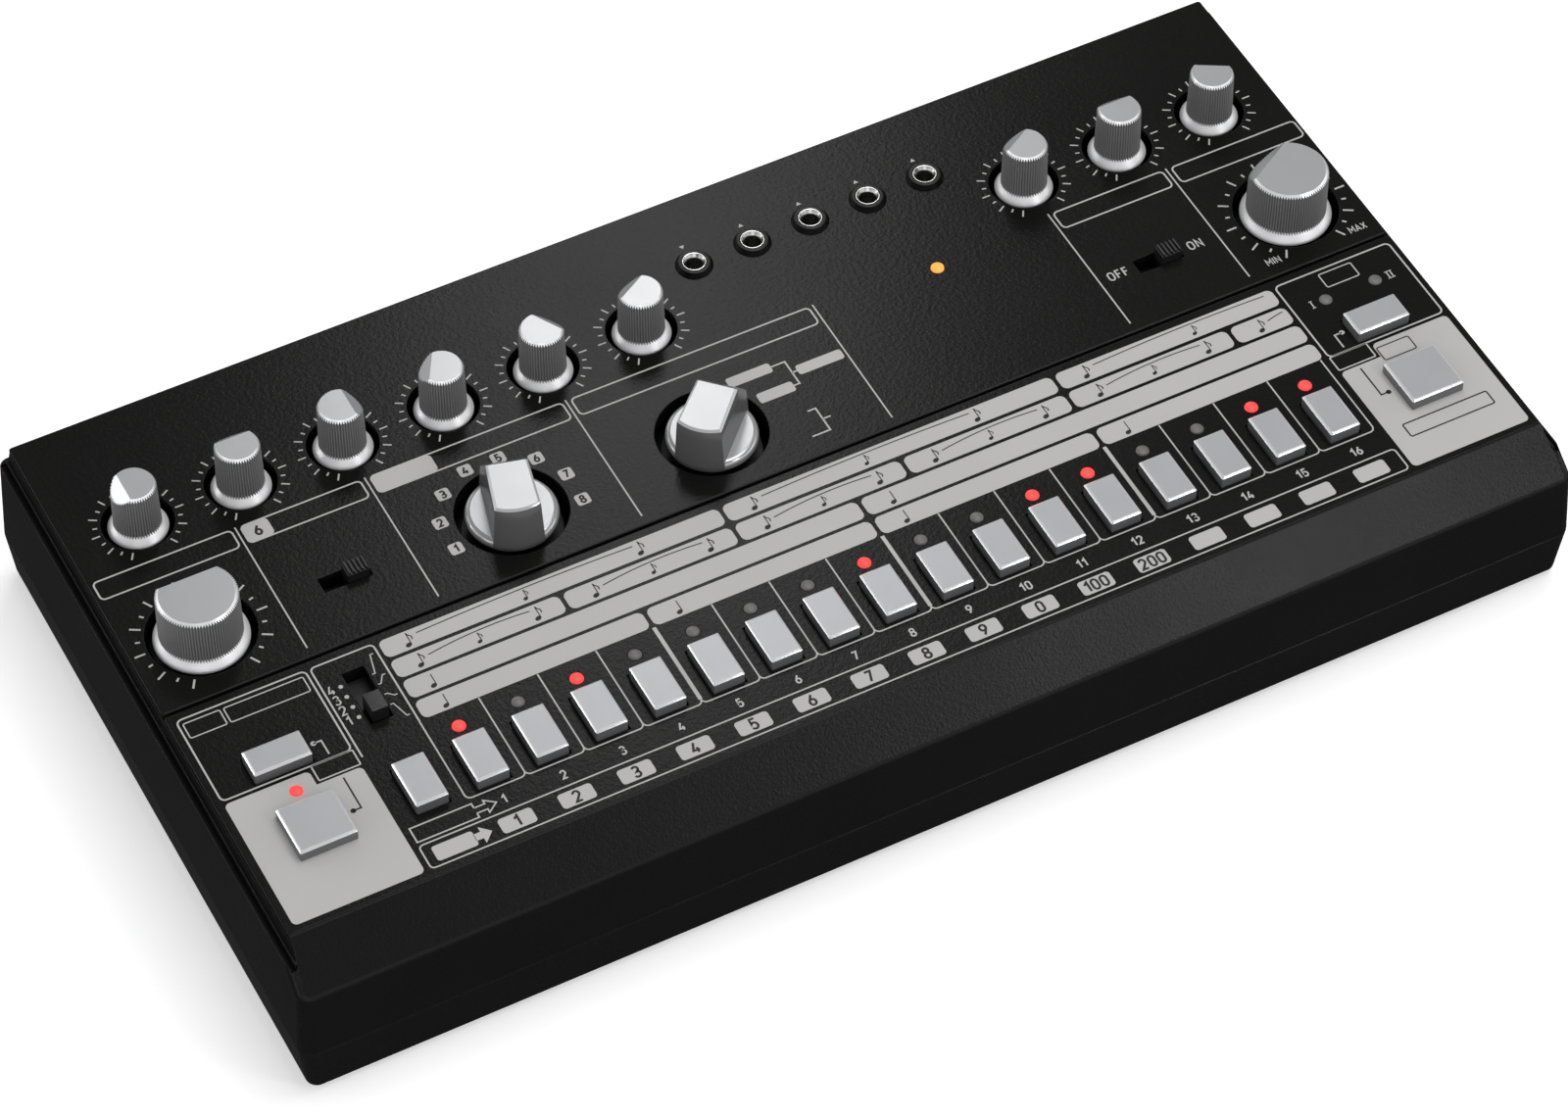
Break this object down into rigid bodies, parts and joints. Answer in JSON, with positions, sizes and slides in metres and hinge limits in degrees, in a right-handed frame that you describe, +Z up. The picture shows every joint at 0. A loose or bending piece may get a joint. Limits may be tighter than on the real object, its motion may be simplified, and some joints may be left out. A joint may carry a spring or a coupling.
{
  "type": "drum machine",
  "caption": "Desktop analogue drum machine: black case, knob and selector panel, row of sprung step keys with lights, and patch jacks.",
  "frame": {"origin": "centre of the overall box, on the plane the rubber feet stand on", "axes": "+X along the long side towards the volume knob, +Y from the front bevel to the rear connectors, +Z up out of the printed panel"},
  "size_m": [0.305, 0.165, 0.0533],
  "materials": {
    "case_plastic": "satin black ABS with a fine moulded grain",
    "panel_black": "black satin sheet with light grey screen print",
    "knob_grey": "silver-grey lacquered plastic, fluted, with a smooth top and skirt",
    "button_grey": "light grey satin plastic",
    "slider_black": "black ribbed plastic",
    "led_red_on": "lit red lens",
    "led_off": "unlit milky grey lens",
    "led_amber_on": "lit amber lens",
    "jack_black": "black round nut and bush",
    "socket_metal": "bright plated steel",
    "socket_black": "black moulded socket",
    "foot_rubber": "soft black rubber",
    "screw_black": "black oxide steel",
    "circuit_board": "green solder resist",
    "component_metal": "plain metal can",
    "component_black": "black moulded component body"
  },
  "bodies": {
    "unit": {"bottom_case": "case_plastic", "top_case": "case_plastic", "control_panel": "panel_black", "step_panel": "panel_black", "main_board": "circuit_board", "step_board": "circuit_board", "io_board": "circuit_board", "potentiometers": "component_metal", "rotary_switches": "component_black", "slide_switches": "component_black", "tact_switches": "component_black", "leds_lit": "led_red_on", "leds_unlit": "led_off", "power_led": "led_amber_on", "minijack_sockets": "jack_black", "minijack_nuts": "jack_black", "mix_out_jack": "socket_metal", "midi_sockets": "socket_black", "usb_socket": "socket_metal", "dc_inlet": "socket_black", "rubber_feet": "foot_rubber", "screws": "screw_black"},
    "knob_accent": {"knob_accent": "knob_grey"},
    "knob_bass_drum": {"knob_bass_drum": "knob_grey"},
    "knob_snare_drum": {"knob_snare_drum": "knob_grey"},
    "knob_tom": {"knob_tom": "knob_grey"},
    "knob_cymbal_clap": {"knob_cymbal_clap": "knob_grey"},
    "knob_hi_hat": {"knob_hi_hat": "knob_grey"},
    "knob_distortion": {"knob_distortion": "knob_grey"},
    "knob_tone": {"knob_tone": "knob_grey"},
    "knob_level": {"knob_level": "knob_grey"},
    "knob_tempo": {"knob_tempo": "knob_grey"},
    "knob_volume": {"knob_volume": "knob_grey"},
    "selector_instrument": {"selector_instrument": "knob_grey"},
    "selector_mode": {"selector_mode": "knob_grey"},
    "slider_cymbal_clap": {"slider_cymbal_clap": "slider_black"},
    "slider_distortion": {"slider_distortion": "slider_black"},
    "slider_scale": {"slider_scale": "slider_black"},
    "power_slider": {"power_slider": "slider_black"},
    "button_step_01": {"button_step_01": "button_grey"},
    "button_step_02": {"button_step_02": "button_grey"},
    "button_step_03": {"button_step_03": "button_grey"},
    "button_step_04": {"button_step_04": "button_grey"},
    "button_step_05": {"button_step_05": "button_grey"},
    "button_step_06": {"button_step_06": "button_grey"},
    "button_step_07": {"button_step_07": "button_grey"},
    "button_step_08": {"button_step_08": "button_grey"},
    "button_step_09": {"button_step_09": "button_grey"},
    "button_step_10": {"button_step_10": "button_grey"},
    "button_step_11": {"button_step_11": "button_grey"},
    "button_step_12": {"button_step_12": "button_grey"},
    "button_step_13": {"button_step_13": "button_grey"},
    "button_step_14": {"button_step_14": "button_grey"},
    "button_step_15": {"button_step_15": "button_grey"},
    "button_step_16": {"button_step_16": "button_grey"},
    "button_scale_function": {"button_scale_function": "button_grey"},
    "button_clear": {"button_clear": "button_grey"},
    "button_pattern_group": {"button_pattern_group": "button_grey"},
    "button_start_stop": {"button_start_stop": "button_grey"},
    "button_write_next": {"button_write_next": "button_grey"}
  },
  "joints": [
    {"name": "knob_accent_turn", "type": "hinge", "parent": "unit", "child": "knob_accent", "pos_m": [-0.13205, 0.04363, 0.046], "axis": [0, 0, -1], "range_deg": [-60, 240]},
    {"name": "knob_bass_drum_turn", "type": "hinge", "parent": "unit", "child": "knob_bass_drum", "pos_m": [-0.108, 0.04363, 0.046], "axis": [0, 0, -1], "range_deg": [-150, 150]},
    {"name": "knob_snare_drum_turn", "type": "hinge", "parent": "unit", "child": "knob_snare_drum", "pos_m": [-0.08396, 0.04363, 0.046], "axis": [0, 0, -1], "range_deg": [-240, 60]},
    {"name": "knob_tom_turn", "type": "hinge", "parent": "unit", "child": "knob_tom", "pos_m": [-0.05992, 0.04363, 0.046], "axis": [0, 0, -1], "range_deg": [-90, 210]},
    {"name": "knob_cymbal_clap_turn", "type": "hinge", "parent": "unit", "child": "knob_cymbal_clap", "pos_m": [-0.03587, 0.04363, 0.046], "axis": [0, 0, -1], "range_deg": [-210, 90]},
    {"name": "knob_hi_hat_turn", "type": "hinge", "parent": "unit", "child": "knob_hi_hat", "pos_m": [-0.01183, 0.04363, 0.046], "axis": [0, 0, -1], "range_deg": [-120, 180]},
    {"name": "knob_distortion_turn", "type": "hinge", "parent": "unit", "child": "knob_distortion", "pos_m": [0.0843, 0.04363, 0.046], "axis": [0, 0, -1], "range_deg": [-120, 180]},
    {"name": "knob_tone_turn", "type": "hinge", "parent": "unit", "child": "knob_tone", "pos_m": [0.10836, 0.04363, 0.046], "axis": [0, 0, -1], "range_deg": [-150, 150]},
    {"name": "knob_level_turn", "type": "hinge", "parent": "unit", "child": "knob_level", "pos_m": [0.13244, 0.04363, 0.046], "axis": [0, 0, -1], "range_deg": [-180, 120]},
    {"name": "knob_tempo_turn", "type": "hinge", "parent": "unit", "child": "knob_tempo", "pos_m": [-0.13232, 0.00957, 0.046], "axis": [0, 0, -1], "range_deg": [-150, 150]},
    {"name": "knob_volume_turn", "type": "hinge", "parent": "unit", "child": "knob_volume", "pos_m": [0.13239, 0.00957, 0.046], "axis": [0, 0, -1], "range_deg": [-120, 180]},
    {"name": "selector_instrument_turn", "type": "hinge", "parent": "unit", "child": "selector_instrument", "pos_m": [-0.0599, 0.00957, 0.046], "axis": [0, 0, -1], "range_deg": [-120, 90]},
    {"name": "selector_mode_turn", "type": "hinge", "parent": "unit", "child": "selector_mode", "pos_m": [-0.01185, 0.00957, 0.046], "axis": [0, 0, -1], "range_deg": [0, 90]},
    {"name": "slider_cymbal_clap_slide", "type": "slide", "parent": "unit", "child": "slider_cymbal_clap", "axis": [1, 0, 0], "range_m": [-0.005, 0]},
    {"name": "slider_distortion_slide", "type": "slide", "parent": "unit", "child": "slider_distortion", "axis": [1, 0, 0], "range_m": [-0.005, 0]},
    {"name": "slider_scale_slide", "type": "slide", "parent": "unit", "child": "slider_scale", "axis": [0, 1, 0], "range_m": [0, 0.00888]},
    {"name": "power_slide", "type": "slide", "parent": "unit", "child": "power_slider", "axis": [1, 0, 0], "range_m": [0, 0.0053]},
    {"name": "button_step_01_press", "type": "slide", "parent": "unit", "child": "button_step_01", "axis": [0, 0, -1], "range_m": [0, 0.0006], "stiffness_N_per_m": 600},
    {"name": "button_step_02_press", "type": "slide", "parent": "unit", "child": "button_step_02", "axis": [0, 0, -1], "range_m": [0, 0.0006], "stiffness_N_per_m": 600},
    {"name": "button_step_03_press", "type": "slide", "parent": "unit", "child": "button_step_03", "axis": [0, 0, -1], "range_m": [0, 0.0006], "stiffness_N_per_m": 600},
    {"name": "button_step_04_press", "type": "slide", "parent": "unit", "child": "button_step_04", "axis": [0, 0, -1], "range_m": [0, 0.0006], "stiffness_N_per_m": 600},
    {"name": "button_step_05_press", "type": "slide", "parent": "unit", "child": "button_step_05", "axis": [0, 0, -1], "range_m": [0, 0.0006], "stiffness_N_per_m": 600},
    {"name": "button_step_06_press", "type": "slide", "parent": "unit", "child": "button_step_06", "axis": [0, 0, -1], "range_m": [0, 0.0006], "stiffness_N_per_m": 600},
    {"name": "button_step_07_press", "type": "slide", "parent": "unit", "child": "button_step_07", "axis": [0, 0, -1], "range_m": [0, 0.0006], "stiffness_N_per_m": 600},
    {"name": "button_step_08_press", "type": "slide", "parent": "unit", "child": "button_step_08", "axis": [0, 0, -1], "range_m": [0, 0.0006], "stiffness_N_per_m": 600},
    {"name": "button_step_09_press", "type": "slide", "parent": "unit", "child": "button_step_09", "axis": [0, 0, -1], "range_m": [0, 0.0006], "stiffness_N_per_m": 600},
    {"name": "button_step_10_press", "type": "slide", "parent": "unit", "child": "button_step_10", "axis": [0, 0, -1], "range_m": [0, 0.0006], "stiffness_N_per_m": 600},
    {"name": "button_step_11_press", "type": "slide", "parent": "unit", "child": "button_step_11", "axis": [0, 0, -1], "range_m": [0, 0.0006], "stiffness_N_per_m": 600},
    {"name": "button_step_12_press", "type": "slide", "parent": "unit", "child": "button_step_12", "axis": [0, 0, -1], "range_m": [0, 0.0006], "stiffness_N_per_m": 600},
    {"name": "button_step_13_press", "type": "slide", "parent": "unit", "child": "button_step_13", "axis": [0, 0, -1], "range_m": [0, 0.0006], "stiffness_N_per_m": 600},
    {"name": "button_step_14_press", "type": "slide", "parent": "unit", "child": "button_step_14", "axis": [0, 0, -1], "range_m": [0, 0.0006], "stiffness_N_per_m": 600},
    {"name": "button_step_15_press", "type": "slide", "parent": "unit", "child": "button_step_15", "axis": [0, 0, -1], "range_m": [0, 0.0006], "stiffness_N_per_m": 600},
    {"name": "button_step_16_press", "type": "slide", "parent": "unit", "child": "button_step_16", "axis": [0, 0, -1], "range_m": [0, 0.0006], "stiffness_N_per_m": 600},
    {"name": "button_scale_function_press", "type": "slide", "parent": "unit", "child": "button_scale_function", "axis": [0, 0, -1], "range_m": [0, 0.0006], "stiffness_N_per_m": 600},
    {"name": "button_clear_press", "type": "slide", "parent": "unit", "child": "button_clear", "axis": [0, 0, -1], "range_m": [0, 0.0006], "stiffness_N_per_m": 600},
    {"name": "button_pattern_group_press", "type": "slide", "parent": "unit", "child": "button_pattern_group", "axis": [0, 0, -1], "range_m": [0, 0.0006], "stiffness_N_per_m": 600},
    {"name": "button_start_stop_press", "type": "slide", "parent": "unit", "child": "button_start_stop", "axis": [0, 0, -1], "range_m": [0, 0.0006], "stiffness_N_per_m": 600},
    {"name": "button_write_next_press", "type": "slide", "parent": "unit", "child": "button_write_next", "axis": [0, 0, -1], "range_m": [0, 0.0006], "stiffness_N_per_m": 600}
  ]
}
